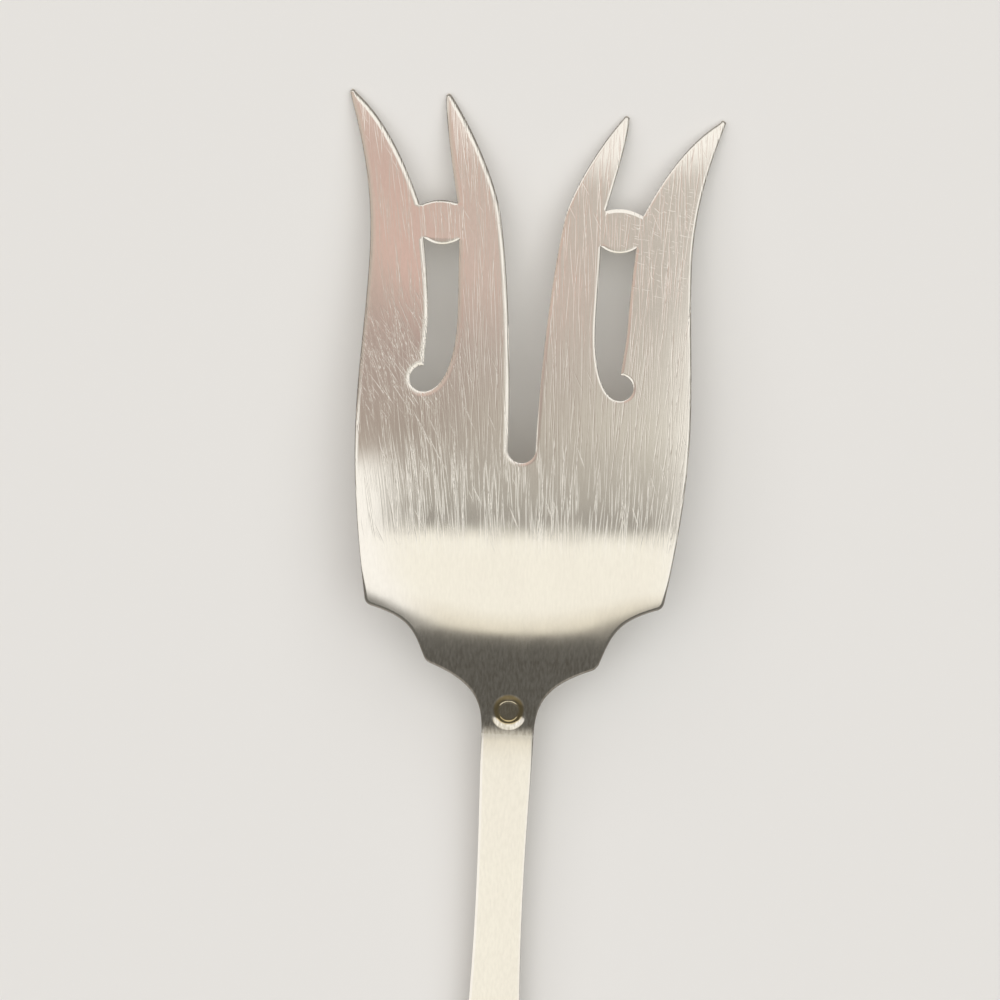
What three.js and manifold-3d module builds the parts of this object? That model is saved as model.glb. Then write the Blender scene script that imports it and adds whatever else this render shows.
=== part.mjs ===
// Serving fork in solid silver: a pierced four-prong head, a tie let in across each pair of prongs,
// and a tapering stem scarfed on under the neck. Millimetres, +Z up. The fork lies on its face with its
// back up, resting on the prong tips and the handle, and points along +Y.
import * as THREE from 'three';
import { mergeVertices } from 'three/addons/utils/BufferGeometryUtils.js';
import Module from 'manifold-3d';

const wasm = await Module();
wasm.setup();

// Plan of the head. AT values run along the fork from the neck joint, WIDTH values go right across it, and an
// ONWARD_TURN is the direction, in degrees from straight across, in which the edge goes on above a shoulder.
const NECK_WIDTH = 7.0;
const LOWER_SHOULDER_AT = 9.45;
const LOWER_SHOULDER_WIDTH = 22.8;
const UPPER_SHOULDER_AT = 17.35;
const UPPER_SHOULDER_WIDTH = 39.4;
const SHOULDER_ROUNDING = 0.8;
const LOWER_SHOULDER_ONWARD_TURN = 69;
const UPPER_SHOULDER_ONWARD_TURN = 81;
const BROADEST_AT = 42;
const BROADEST_WIDTH = 44.4;
const WAIST_AT = 63;
const WAIST_WIDTH = 43.2;

// The plan was sawn by hand: the right upper shoulder sits further along than the left one by twice the skew,
// and the slots and their hooks lie a little to the left of the middle.
const UPPER_SHOULDER_SKEW = 0.6;
const SLOTS_TO_LEFT = 0.2;
const HOOKS_TO_LEFT = 0.45;

// Prongs. The right pair is worn shorter than the left.
const TIP_AT = 86.6;
const RIGHT_PAIR_WEAR = 1.9;
const OUTER_TIP_SPAN = 50.8;
const INNER_TIP_SPAN = 24.4;
const TIP_WIDTH = 0.8;

// Slot between the two pairs: a round end, near-parallel sides, then a flare between the tips.
const CENTRE_SLOT_END_AT = 36.3;
const CENTRE_SLOT_WIDTH = 3.7;
const CENTRE_FLARE_AT = 70;
const CENTRE_FLARE_WIDTH = 8.8;

// Ties, the gap that they close inside each pair, and the hooked slot below them.
const TIE_LOWER_AT = 66;
const TIE_INNER_LANDING = 4.9;
const TIE_OUTER_LANDING = 4.4;
const TIE_UPPER_BULGE = 0.6;
const TIE_LOWER_BULGE = 0.85;
const TIE_LOWER_SPAN = 4.8;
const TIE_UPPER_SPAN = 5.05;
const INNER_LANDING_LOWER_X = 9.5;
const INNER_LANDING_UPPER_X = 10.0;
const SLOT_NARROW_AT = 55;
const SLOT_NARROW_INNER_X = 9.2;
const SLOT_NARROW_OUTER_X = 13.3;
const HOOK_AT = 46.9;
const HOOK_X = 13.1;
const HOOK_RADIUS = 1.75;

// Plan of the stem, measured back from the neck joint.
const STEM_LENGTH = 133.4;
const SHANK_AT = 22;
const SHANK_WIDTH = 6.3;
const HANDLE_WIDTH = 18.8;
const HANDLE_END_ARCH = 15;

// Side view: the slope of the back, in rise per millimetre towards the tips, at stations along the fork.
const STEM_END_SLOPE = -0.035;
const STEM_SLOPE = 0.05;
const STRAIGHT_FROM = 100;
const STRAIGHT_TO = 10;
const STEM_FRONT_SLOPE = 0.18;
const CREASE_TO = 1.1;
const CREASE_SLOPE = 0.245;
const HEEL_AT = 6;
const HEEL_SLOPE = 0.345;
const RISE_AT = 12.5;
const RISE_SLOPE = 0.235;
const CREST_AT = 26.3;

// The heel is dished across: towards the sides its rise lags behind by this share of the square of x. The lag
// comes in along the neck and goes out again before the crest.
const HEEL_LAG = 0.0083;
const HEEL_LAG_FULL_FROM = 8;
const HEEL_LAG_FULL_TO = 14;
const HEEL_LAG_END = 26;

// Depth of the metal, straight down, and how far the head's sides fall below its middle.
const STEM_END_DEPTH = 2.2;
const NECK_DEPTH = 3.0;
const CREST_DEPTH = 2.0;
const TIP_DEPTH = 1.1;
const CROWN_DROP = 0.7;
const CROWN_POWER = 4;

// Scarf joint between neck and stem: its length, and the blunt nose at each end of it.
const SCARF_LENGTH = 9;
const SCARF_NOSE = 0.5;

// Bare round dish on the back of the neck, with a flat floor.
const ROUNDEL_AT = 3.1;
const ROUNDEL_DIAMETER = 5.2;
const ROUNDEL_FLOOR_DIAMETER = 3.1;
const ROUNDEL_DEPTH = 0.14;

// How finely curves are cut into facets, and how far the cutters reach past the metal.
const CURVE_STEPS = 9;
const ARC_STEPS = 8;
const BENT_STEP = 2.4;
const COLUMNS = 12;
const CUT_MARGIN = 3;

const { smoothstep } = THREE.MathUtils;

// Back of the fork on its centre line. The slope is linear between stations, so each stretch is an arc.
const slopeStations = [
  [-STEM_LENGTH, STEM_END_SLOPE],
  [-STRAIGHT_FROM, STEM_SLOPE],
  [-STRAIGHT_TO, STEM_SLOPE],
  [0, STEM_FRONT_SLOPE],
  [CREASE_TO, CREASE_SLOPE],
  [HEEL_AT, HEEL_SLOPE],
  [RISE_AT, RISE_SLOPE],
  [CREST_AT, 0],
];

// Value at y on a line of straight stretches through [y, value] stations.
function between(stations, y) {
  const last = stations.length - 1;
  const next = stations.findIndex(([at]) => at > y);
  if (next === 0) return stations[0][1];
  if (next < 0) return stations[last][1];
  const [fromAt, from] = stations[next - 1];
  const [toAt, to] = stations[next];
  return from + ((to - from) * (y - fromAt)) / (toAt - fromAt);
}

// Height of the back above its end, up to the crest: the area under the slope line.
function riseFromEnd(y) {
  let height = 0;
  slopeStations.slice(1).forEach(([toAt], i) => {
    const fromAt = slopeStations[i][0];
    const end = Math.min(toAt, y);
    if (end <= fromAt) return;
    height += ((between(slopeStations, fromAt) + between(slopeStations, end)) / 2) * (end - fromAt);
  });
  return height;
}

// Stations along a bent stretch, without its far end. A straight stretch needs only its two ends.
function bent(from, to) {
  const count = Math.ceil((to - from) / BENT_STEP);
  return Array.from({ length: count }, (_, i) => from + ((to - from) * i) / count);
}

const stationsAlong = [
  -STEM_LENGTH - CUT_MARGIN,
  ...bent(-STEM_LENGTH, -STRAIGHT_FROM),
  -STRAIGHT_FROM,
  ...bent(-STRAIGHT_TO, 0),
  ...bent(0, CREASE_TO),
  ...bent(CREASE_TO, HEEL_AT),
  ...bent(HEEL_AT, RISE_AT),
  ...bent(RISE_AT, CREST_AT),
  ...bent(CREST_AT, TIP_AT),
  TIP_AT,
  TIP_AT + CUT_MARGIN,
];

// Share of the bend from the crest to the tips, which the worn pair reaches sooner.
function bend(x, y) {
  const worn = RIGHT_PAIR_WEAR * smoothstep(x, -CENTRE_SLOT_WIDTH, CENTRE_SLOT_WIDTH);
  return Math.max(0, (y - CREST_AT) / (TIP_AT - worn - CREST_AT));
}

const depthStations = [
  [-STEM_LENGTH, STEM_END_DEPTH],
  [0, NECK_DEPTH],
  [CREST_AT, CREST_DEPTH],
];
const depth = (x, y) => between(depthStations, y) + (TIP_DEPTH - CREST_DEPTH) * bend(x, y);

// The stem's face touches the table at its lowest station, and so do the prong tips.
const stemStations = stationsAlong.filter((y) => y <= 0);
const tableHeight = Math.min(...stemStations.map((y) => riseFromEnd(y) - depth(0, y)));
const crestHeight = riseFromEnd(CREST_AT) - tableHeight;

function back(x, y) {
  const crowned = smoothstep(y, 0, CREST_AT) * (1 - smoothstep(y, BROADEST_AT, TIP_AT));
  const crown = CROWN_DROP * crowned * Math.abs((2 * x) / BROADEST_WIDTH) ** CROWN_POWER;
  const drop = (crestHeight - TIP_DEPTH) * bend(x, y) ** 2;
  const lagging = smoothstep(y, 0, HEEL_LAG_FULL_FROM) * (1 - smoothstep(y, HEEL_LAG_FULL_TO, HEEL_LAG_END));
  return riseFromEnd(y - HEEL_LAG * lagging * x * x) - tableHeight - drop - crown;
}

const face = (x, y) => back(x, y) - depth(x, y);

// One closed solid from a three.js geometry, and back again.
function solid(geometry) {
  geometry.deleteAttribute('normal');
  geometry.deleteAttribute('uv');
  const merged = mergeVertices(geometry);
  const vertProperties = merged.attributes.position.array;
  const triVerts = new Uint32Array(merged.index.array);
  return new wasm.Manifold(new wasm.Mesh({ numProp: 3, vertProperties, triVerts }));
}

function geometryOf(body) {
  const { vertProperties, triVerts } = body.getMesh();
  const geometry = new THREE.BufferGeometry();
  geometry.setAttribute('position', new THREE.BufferAttribute(vertProperties, 3));
  geometry.setIndex(new THREE.BufferAttribute(triVerts, 1));
  return geometry;
}

// Sheet of metal bent to the side view and crowned across, wide enough to hold the whole plan.
function bentSheet() {
  const halfWidth = Math.max(BROADEST_WIDTH, OUTER_TIP_SPAN) / 2 + CUT_MARGIN;
  const rows = stationsAlong.length - 1;
  const sheet = new THREE.BoxGeometry(1, 1, 1, COLUMNS, rows, 1);
  const corners = sheet.attributes.position;
  for (let i = 0; i < corners.count; i += 1) {
    const x = 2 * halfWidth * corners.getX(i);
    const y = stationsAlong[Math.round((corners.getY(i) + 0.5) * rows)];
    const onBack = corners.getZ(i) > 0;
    corners.setXYZ(i, x, y, onBack ? back(x, y) : face(x, y));
  }
  return solid(sheet);
}

// Upright cutter with the given plan, taller than the fork.
const cutterBottom = -CUT_MARGIN;
const cutterTop = crestHeight + CUT_MARGIN;
function upright(shape) {
  const cutter = new THREE.ExtrudeGeometry(shape, { depth: cutterTop - cutterBottom, bevelEnabled: false });
  return solid(cutter.translate(0, 0, cutterBottom));
}

// Corners where a tie meets its two prongs. Both halves are drawn on the right; side is 1 for the right half,
// and -1 for the left half, which is turned over afterwards.
function landingCorners(side) {
  const lowerX = INNER_LANDING_LOWER_X - side * SLOTS_TO_LEFT;
  const upperX = INNER_LANDING_UPPER_X - side * SLOTS_TO_LEFT;
  return {
    innerLower: new THREE.Vector2(lowerX, TIE_LOWER_AT),
    innerUpper: new THREE.Vector2(upperX, TIE_LOWER_AT + TIE_INNER_LANDING),
    outerLower: new THREE.Vector2(lowerX + TIE_LOWER_SPAN, TIE_LOWER_AT),
    outerUpper: new THREE.Vector2(upperX + TIE_UPPER_SPAN, TIE_LOWER_AT + TIE_OUTER_LANDING),
  };
}

// Curve to (x, y). Its handles are shares of the step from the last point: [across, along] the fork.
function curve(path, x, y, leave, arrive) {
  const from = path.currentPoint.clone();
  const across = x - from.x;
  const along = y - from.y;
  path.bezierCurveTo(from.x + across * leave[0], from.y + along * leave[1],
    x - across * arrive[0], y - along * arrive[1], x, y);
}

// Stem edge, from the middle of the handle's end out to the handle's side and along to the neck.
function stemEdge(plan) {
  plan.moveTo(0, -STEM_LENGTH);
  curve(plan, HANDLE_WIDTH / 2, HANDLE_END_ARCH - STEM_LENGTH, [0.6, 0], [0, 0.5]);
  curve(plan, SHANK_WIDTH / 2, -SHANK_AT, [0, 0.3], [0, 0.42]);
  curve(plan, NECK_WIDTH / 2, 0, [0, 0.45], [0, 0.2]);
}

// Cove out to a shoulder at (x, y). The corner is filed round: the cove stops short of it, and a small curve
// turns through it onto the next edge.
function cove(plan, x, y, leave, arrive, onwardTurn) {
  const from = plan.currentPoint;
  const arriving = new THREE.Vector2((x - from.x) * arrive[0], (y - from.y) * arrive[1]);
  arriving.setLength(SHOULDER_ROUNDING);
  curve(plan, x - arriving.x, y - arriving.y, leave, arrive);
  const turn = THREE.MathUtils.degToRad(onwardTurn);
  plan.quadraticCurveTo(x, y, x + SHOULDER_ROUNDING * Math.cos(turn), y + SHOULDER_ROUNDING * Math.sin(turn));
}

// Outer edge of the head: two coves up the shoulder, the full side, the waist, and the flare to the tip.
function headEdge(plan, side, tip) {
  const upperShoulderAt = UPPER_SHOULDER_AT + side * UPPER_SHOULDER_SKEW;
  cove(plan, LOWER_SHOULDER_WIDTH / 2, LOWER_SHOULDER_AT, [0, 0.45], [0.85, 0.25], LOWER_SHOULDER_ONWARD_TURN);
  cove(plan, UPPER_SHOULDER_WIDTH / 2, upperShoulderAt, [0.2, 0.55], [0.7, 0.22], UPPER_SHOULDER_ONWARD_TURN);
  curve(plan, BROADEST_WIDTH / 2, BROADEST_AT, [0.48, 0.3], [0, 0.37]);
  curve(plan, WAIST_WIDTH / 2, WAIST_AT, [0, 0.37], [0, 0.37]);
  curve(plan, (OUTER_TIP_SPAN + TIP_WIDTH) / 2, tip - TIP_WIDTH / 2, [0, 0.4], [0.55, 0.31]);
}

// Rounded nose of a prong, over its tip to its inner edge.
function nose(plan, tipX, tip) {
  plan.quadraticCurveTo(tipX, tip + TIP_WIDTH / 2, tipX - TIP_WIDTH / 2, tip - TIP_WIDTH / 2);
}

// Gap inside a pair: down the outer prong past its landing for the tie, round the hook, up the inner prong.
function pairGapEdge(plan, side, tip) {
  const { innerLower, innerUpper, outerLower, outerUpper } = landingCorners(side);
  const narrowInnerX = SLOT_NARROW_INNER_X - side * SLOTS_TO_LEFT;
  const hookX = HOOK_X - side * HOOKS_TO_LEFT;
  curve(plan, outerUpper.x, outerUpper.y, [0.47, 0.25], [0.2, 0.32]);
  plan.lineTo(outerLower.x, outerLower.y);
  curve(plan, SLOT_NARROW_OUTER_X, SLOT_NARROW_AT, [0.5, 0.35], [0.1, 0.3]);
  curve(plan, hookX, HOOK_AT + HOOK_RADIUS, [0.1, 0.3], [0.3, 0.35]);
  plan.absarc(hookX, HOOK_AT, HOOK_RADIUS, Math.PI / 2, -Math.PI / 2, true);
  curve(plan, narrowInnerX, SLOT_NARROW_AT, [0.66, 0], [0, 0.56]);
  curve(plan, innerLower.x, innerLower.y, [0, 0.4], [0, 0.3]);
  plan.lineTo(innerUpper.x, innerUpper.y);
  curve(plan, (INNER_TIP_SPAN + TIP_WIDTH) / 2, tip - TIP_WIDTH / 2, [0.35, 0.3], [0.1, 0.3]);
}

// Inner side of the inner prong, down the flare and the straight stretch to the end of the centre slot.
function centreSlotEdge(plan) {
  const half = CENTRE_SLOT_WIDTH / 2;
  const centreAt = CENTRE_SLOT_END_AT + half;
  curve(plan, CENTRE_FLARE_WIDTH / 2, CENTRE_FLARE_AT, [0.44, 0.3], [0.13, 0.27]);
  curve(plan, half, centreAt, [0.62, 0.27], [0, 0.3]);
  plan.absarc(0, centreAt, half, 0, -Math.PI / 2, true);
}

// Half of the plan, from the handle's end round the outside to the end of the centre slot.
function halfPlan(side) {
  const tip = side > 0 ? TIP_AT - RIGHT_PAIR_WEAR : TIP_AT;
  const plan = new THREE.Path();
  stemEdge(plan);
  headEdge(plan, side, tip);
  nose(plan, OUTER_TIP_SPAN / 2, tip);
  pairGapEdge(plan, side, tip);
  nose(plan, INNER_TIP_SPAN / 2, tip);
  centreSlotEdge(plan);
  return plan.getPoints(CURVE_STEPS);
}

// Whole plan: the right half, then the left half mirrored and walked back.
function forkPlan() {
  const right = halfPlan(1);
  const left = halfPlan(-1).map((p) => new THREE.Vector2(-p.x, p.y));
  const leftBack = left.reverse().slice(1, -1);
  return new THREE.Shape([...right, ...leftBack]);
}

// Tie between its four landing corners, arched above and below.
function tiePlan(side) {
  const { innerLower, innerUpper, outerLower, outerUpper } = landingCorners(side);
  const lowerPull = innerLower.clone().lerp(outerLower, 0.5);
  const upperPull = innerUpper.clone().lerp(outerUpper, 0.5);
  lowerPull.y -= 2 * TIE_LOWER_BULGE;
  upperPull.y += 2 * TIE_UPPER_BULGE;
  const plan = new THREE.Path();
  plan.moveTo(innerLower.x, innerLower.y);
  plan.quadraticCurveTo(lowerPull.x, lowerPull.y, outerLower.x, outerLower.y);
  plan.lineTo(outerUpper.x, outerUpper.y);
  plan.quadraticCurveTo(upperPull.x, upperPull.y, innerUpper.x, innerUpper.y);
  return new THREE.Shape(plan.getPoints(ARC_STEPS).map((p) => new THREE.Vector2(side * p.x, p.y)));
}

// Room that the stem takes: everything behind the neck joint and above the scarf.
function stemRoom() {
  const halfWidth = HANDLE_WIDTH;
  const noseHeight = back(0, 0) - SCARF_NOSE;
  const heelHeight = face(0, -SCARF_LENGTH) + SCARF_NOSE;
  const side = new THREE.Shape();
  side.moveTo(0, cutterTop);
  side.lineTo(0, noseHeight);
  side.lineTo(-SCARF_LENGTH, heelHeight);
  side.lineTo(-SCARF_LENGTH, cutterBottom);
  side.lineTo(-STEM_LENGTH - CUT_MARGIN, cutterBottom);
  side.lineTo(-STEM_LENGTH - CUT_MARGIN, cutterTop);
  const room = new THREE.ExtrudeGeometry(side, { depth: 2 * halfWidth, bevelEnabled: false });
  room.translate(0, 0, -halfWidth);
  room.rotateY(Math.PI / 2);
  room.rotateX(Math.PI / 2);
  return solid(room);
}

// Cutter for the round dish, standing square to the back of the neck.
function roundelCutter() {
  const floor = ROUNDEL_FLOOR_DIAMETER / 2;
  const rim = ROUNDEL_DIAMETER / 2;
  const profile = [
    new THREE.Vector2(0, -ROUNDEL_DEPTH),
    new THREE.Vector2(floor, -ROUNDEL_DEPTH),
    new THREE.Vector2(rim, 0),
    new THREE.Vector2(rim, ROUNDEL_DIAMETER),
    new THREE.Vector2(0, ROUNDEL_DIAMETER),
  ];
  const cutter = new THREE.LatheGeometry(profile, 4 * ARC_STEPS);
  cutter.rotateX(Math.PI / 2 + Math.atan(between(slopeStations, ROUNDEL_AT)));
  cutter.translate(0, ROUNDEL_AT, back(0, ROUNDEL_AT));
  return solid(cutter);
}

const silver = () => new THREE.MeshStandardMaterial({ color: 0xd6cfc4, roughness: 0.3, metalness: 1 });

function piece(name, body) {
  const mesh = new THREE.Mesh(geometryOf(body), silver());
  mesh.name = name;
  return mesh;
}

const sheet = bentSheet();
const blank = sheet.intersect(upright(forkPlan()));
const room = stemRoom();

const fork = new THREE.Group();
fork.add(piece('fork_head', blank.subtract(room).subtract(roundelCutter())));
fork.add(piece('left_tie', sheet.intersect(upright(tiePlan(-1)))));
fork.add(piece('right_tie', sheet.intersect(upright(tiePlan(1)))));
fork.add(piece('stem', blank.intersect(room)));

// The origin is under the middle of the fork, on the table.
fork.position.y = (STEM_LENGTH - TIP_AT) / 2;

export default fork;
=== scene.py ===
import math

import bpy
import numpy as np
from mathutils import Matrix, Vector
from mathutils.geometry import delaunay_2d_cdt


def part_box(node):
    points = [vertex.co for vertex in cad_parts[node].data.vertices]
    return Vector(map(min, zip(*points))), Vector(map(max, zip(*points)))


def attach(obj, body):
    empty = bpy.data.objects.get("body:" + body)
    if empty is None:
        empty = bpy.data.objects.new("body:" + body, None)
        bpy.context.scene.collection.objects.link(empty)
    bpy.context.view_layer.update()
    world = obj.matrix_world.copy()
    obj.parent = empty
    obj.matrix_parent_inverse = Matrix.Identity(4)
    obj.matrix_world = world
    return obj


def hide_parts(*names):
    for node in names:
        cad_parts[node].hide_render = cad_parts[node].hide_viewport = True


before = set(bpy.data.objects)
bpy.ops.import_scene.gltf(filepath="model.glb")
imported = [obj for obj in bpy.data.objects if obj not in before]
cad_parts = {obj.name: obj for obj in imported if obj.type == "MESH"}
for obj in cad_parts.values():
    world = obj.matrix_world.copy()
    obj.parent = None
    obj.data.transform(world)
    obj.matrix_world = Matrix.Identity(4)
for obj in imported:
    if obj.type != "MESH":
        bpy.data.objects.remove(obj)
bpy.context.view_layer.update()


# Fork head: one plate of sterling silver, sawn out to four prongs with a slot between the pairs and a
# hooked slot inside each pair, then bent over a stake so that its back is crowned. Its neck runs on as a
# tongue under the stem. Plan sizes are in millimetres, along the fork from the neck joint.
MM = 0.001
neck_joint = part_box("stem")[1][1]

SHANK = (6.3 / 2, -22.0)
NECK = (7.0 / 2, 0.0)
LOWER_SHOULDER = (22.8 / 2, 9.45)
UPPER_SHOULDER = (39.4 / 2, 17.35)
SHOULDER_ROUNDING = 0.8
LOWER_SHOULDER_ONWARD_TURN = 69
UPPER_SHOULDER_ONWARD_TURN = 81
BROADEST = (44.4 / 2, 42.0)
WAIST = (43.2 / 2, 63.0)
TIP_AT = 86.6
TIP_HALF = 0.4
OUTER_TIP_X = 25.4
INNER_TIP_X = 12.2
RIGHT_PAIR_WEAR = 1.9
FLARE = (4.4, 70.0)
SLOT_HALF = 1.85
SLOT_END_AT = 36.3
INNER_LANDING_LOWER = (9.5, 66.0)
INNER_LANDING_UPPER = (10.0, 70.9)
OUTER_LANDING_LOWER = (14.3, 66.0)
OUTER_LANDING_UPPER = (15.05, 70.4)
SLOT_NARROW_INNER = (9.2, 55.0)
SLOT_NARROW_OUTER = (13.3, 55.0)
HOOK = (13.1, 46.9)
HOOK_RADIUS = 1.75

# The plan was sawn by hand: the right upper shoulder sits further along than the left one by twice the
# skew, and the slots and their hooks lie a little to the left of the middle.
UPPER_SHOULDER_SKEW = 0.6
SLOTS_TO_LEFT = 0.2
HOOKS_TO_LEFT = 0.45

# Slope of the back and thickness of the plate at stations along the fork. Towards the sides the heel of
# the rise lags behind: the lag sets in over one stretch of the neck and dies out over another.
STEM_LENGTH = 133.4
CREST_AT = 26.3
SLOPE_STATIONS = [-STEM_LENGTH, -100, -10, 0, 1.1, 6, 12.5, CREST_AT]
SLOPES = [-0.035, 0.05, 0.05, 0.18, 0.245, 0.345, 0.235, 0]
HEEL_LAG = 0.0083
HEEL_LAG_IN = (0, 8)
HEEL_LAG_OUT = (14, 26)
DEPTH_STATIONS = [-STEM_LENGTH, 0, CREST_AT]
DEPTHS = [2.2, 3.0, 2.0]
TIP_DEPTH = 1.1
CROWN_DROP = 0.7
SCARF_LENGTH = 9.0
SCARF_NOSE = 0.5
STEP_SHARPNESS = 0.02
JOINT_HALF = 2.6
JOINT_POINTS = 24

# The solids' heights are rounded to a micrometre, and the surfaces lie that much lower to stay inside.
ROUNDED_OFF = 0.001
RISE_SAMPLES = 6000

# The roundel is round on the slope of the neck, so from above it is a little shorter along.
ROUNDEL_AT = 3.1
ROUNDEL_SLOPE = 0.27
ROUNDEL_RADIUS = 2.6
ROUNDEL_DEPTH = 0.14
ROUNDEL_FLOOR = 1.55
ROUNDEL_CIRCLES = np.arange(0.1, ROUNDEL_RADIUS + 0.3, 0.07)
ROUNDEL_TURNS = np.radians(np.arange(0, 360, 5))
BEAD_RADIUS = 1.4
BEAD_WIDTH = 0.13
BEAD_HEIGHT = 0.025

# The edges are eased by filing: an arc leans over to its full angle at the rim, above an upright wall.
# It is narrow on the stem, and on the head it is wider to the left.
STEM_ARRIS = 0.35
HEAD_ARRIS_LEFT = 0.75
HEAD_ARRIS_RIGHT = 0.4
ARRIS_ALONG = (10, 45)
ARRIS_ACROSS = (-4, 4)
ARRIS_LEAN = math.radians(26)

# How fine the surfaces are: steps along the edges, rings of points over the arris, and a grid inside
# them. Rings and grid keep clear of what they follow by a share of their own spacing.
CURVE_SAMPLES = 600
ARC_SAMPLES = 200
EDGE_STEP = 0.25
RING_OFFSETS = HEAD_ARRIS_LEFT * np.array([0.16, 0.33, 0.53, 0.76, 1])
RING_CLEAR = 0.97
GRID_STEP = 0.6
GRID_CLEAR = 0.4
INNER_CLEAR = 0.6
POINTS_AT_ONCE = 200
NUDGE = 0.005

# Small distances: as good as nothing, two points that are merged, a tiny step, a point on the rim, and
# one on a wall.
NIL = 1e-9
MERGED = 1e-7
TINY = 1e-6
ON_RIM = 1e-5
ON_WALL = 1e-4


def smooth(value, low, high):
    """0 below low, 1 above high, and an s-curve between them."""
    t = np.clip((value - low) / (high - low), 0, 1)
    return t * t * (3 - 2 * t)


# Back of the fork on its centre line: the slope runs straight between stations, and its area is the rise.
rise_at = np.linspace(-STEM_LENGTH, CREST_AT, RISE_SAMPLES)
slope_there = np.interp(rise_at, SLOPE_STATIONS, SLOPES)
rise_steps = (slope_there[1:] + slope_there[:-1]) / 2 * np.diff(rise_at)
rise_there = np.append(0, np.cumsum(rise_steps))
lowest_there = rise_there - np.interp(rise_at, DEPTH_STATIONS, DEPTHS)
table_height = lowest_there[rise_at <= 0].min() + ROUNDED_OFF
crest_height = rise_there[-1] - table_height


def bend(x, y):
    """Share of the way from the crest to the tips, which the worn pair reaches sooner."""
    worn = RIGHT_PAIR_WEAR * smooth(x, -2 * SLOT_HALF, 2 * SLOT_HALF)
    return np.maximum(0, (y - CREST_AT) / (TIP_AT - worn - CREST_AT))


def depth(x, y):
    """Thickness straight down: straight between stations, then thinning to the tips."""
    return np.interp(y, DEPTH_STATIONS, DEPTHS) + (TIP_DEPTH - DEPTHS[-1]) * bend(x, y)


def back(x, y):
    """Height of the back: the rise, whose heel lags behind towards the sides by the square of x, a
    parabola from the crest down to the tips, and a fourth-power crown across."""
    crowned = smooth(y, 0, CREST_AT) * (1 - smooth(y, BROADEST[1], TIP_AT))
    crown = CROWN_DROP * crowned * np.abs(x / BROADEST[0]) ** 4
    drop = (crest_height - TIP_DEPTH) * bend(x, y) ** 2
    lag = HEEL_LAG * np.square(x) * smooth(y, *HEEL_LAG_IN) * (1 - smooth(y, *HEEL_LAG_OUT))
    return np.interp(y - lag, rise_at, rise_there) - table_height - drop - crown


def face(x, y):
    """Height of the face: the back less the thickness."""
    return back(x, y) - depth(x, y)


def scarf(y):
    """Height of the slanting joint under the stem: a straight line from its nose to its heel."""
    nose_height = back(0, 0) - SCARF_NOSE
    heel_height = face(0, -SCARF_LENGTH) + SCARF_NOSE
    return nose_height + (heel_height - nose_height) * y / -SCARF_LENGTH


def arris_width(x, y):
    """Width of the eased edge: an s-curve along from the stem to the head, and one across from left to
    right."""
    on_head = HEAD_ARRIS_LEFT + (HEAD_ARRIS_RIGHT - HEAD_ARRIS_LEFT) * smooth(x, *ARRIS_ACROSS)
    return STEM_ARRIS + (on_head - STEM_ARRIS) * smooth(y, *ARRIS_ALONG)


def roundel(x, y):
    """Depth of the bare round recess: a flat floor with a fine bell-shaped bead round it, and a soft wall,
    an s-curve up to its rim."""
    out = np.hypot(x, (y - ROUNDEL_AT) * np.hypot(1, ROUNDEL_SLOPE))
    bead = BEAD_HEIGHT * np.exp(-np.square((out - BEAD_RADIUS) / BEAD_WIDTH))
    return ROUNDEL_DEPTH * (1 - smooth(out, ROUNDEL_FLOOR, ROUNDEL_RADIUS)) - bead


def even(points):
    """The same line cut into equal steps of about EDGE_STEP, three or more, its last point left off."""
    run = np.append(0, np.cumsum(np.hypot(*np.diff(points, axis=0).T)))
    at = np.linspace(0, run[-1], max(3, round(run[-1] / EDGE_STEP)), endpoint=False)
    return np.column_stack([np.interp(at, run, points[:, 0]), np.interp(at, run, points[:, 1])])


def curve(start, end, leave, arrive):
    """Cubic from start to end. Its handles are shares of the step between them, across and along."""
    start, end = np.array(start), np.array(end)
    first = start + np.array(leave) * (end - start)
    second = end - np.array(arrive) * (end - start)
    t = np.linspace(0, 1, CURVE_SAMPLES)[:, None]
    left = 1 - t
    return even(left ** 3 * start + 3 * left ** 2 * t * first + 3 * left * t ** 2 * second + t ** 3 * end)


def bow(start, pull, end):
    """Quadratic from start to end, drawn towards pull."""
    t = np.linspace(0, 1, ARC_SAMPLES)[:, None]
    left = 1 - t
    return even(left ** 2 * np.array(start) + 2 * left * t * np.array(pull) + t ** 2 * np.array(end))


def arc(centre, radius, turn_from, turn_to):
    """Part of a circle between two angles in degrees."""
    turn = np.radians(np.linspace(turn_from, turn_to, ARC_SAMPLES))
    return even(np.array(centre) + radius * np.column_stack([np.cos(turn), np.sin(turn)]))


def shifted(point, x=0, y=0):
    """The point moved by x and y."""
    return point[0] + x, point[1] + y


def cove(start, corner, leave, arrive, onward_turn):
    """Cove out to a shoulder corner that is filed round: the cubic stops short of the corner, and a small
    curve turns through it onto the next edge. Gives the line and the point where it ends."""
    arriving = (np.array(corner) - start) * arrive
    before = corner - arriving / np.hypot(*arriving) * SHOULDER_ROUNDING
    turn = math.radians(onward_turn)
    after = shifted(corner, SHOULDER_ROUNDING * math.cos(turn), SHOULDER_ROUNDING * math.sin(turn))
    return np.concatenate([curve(start, before, leave, arrive), bow(before, corner, after)]), after


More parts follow.
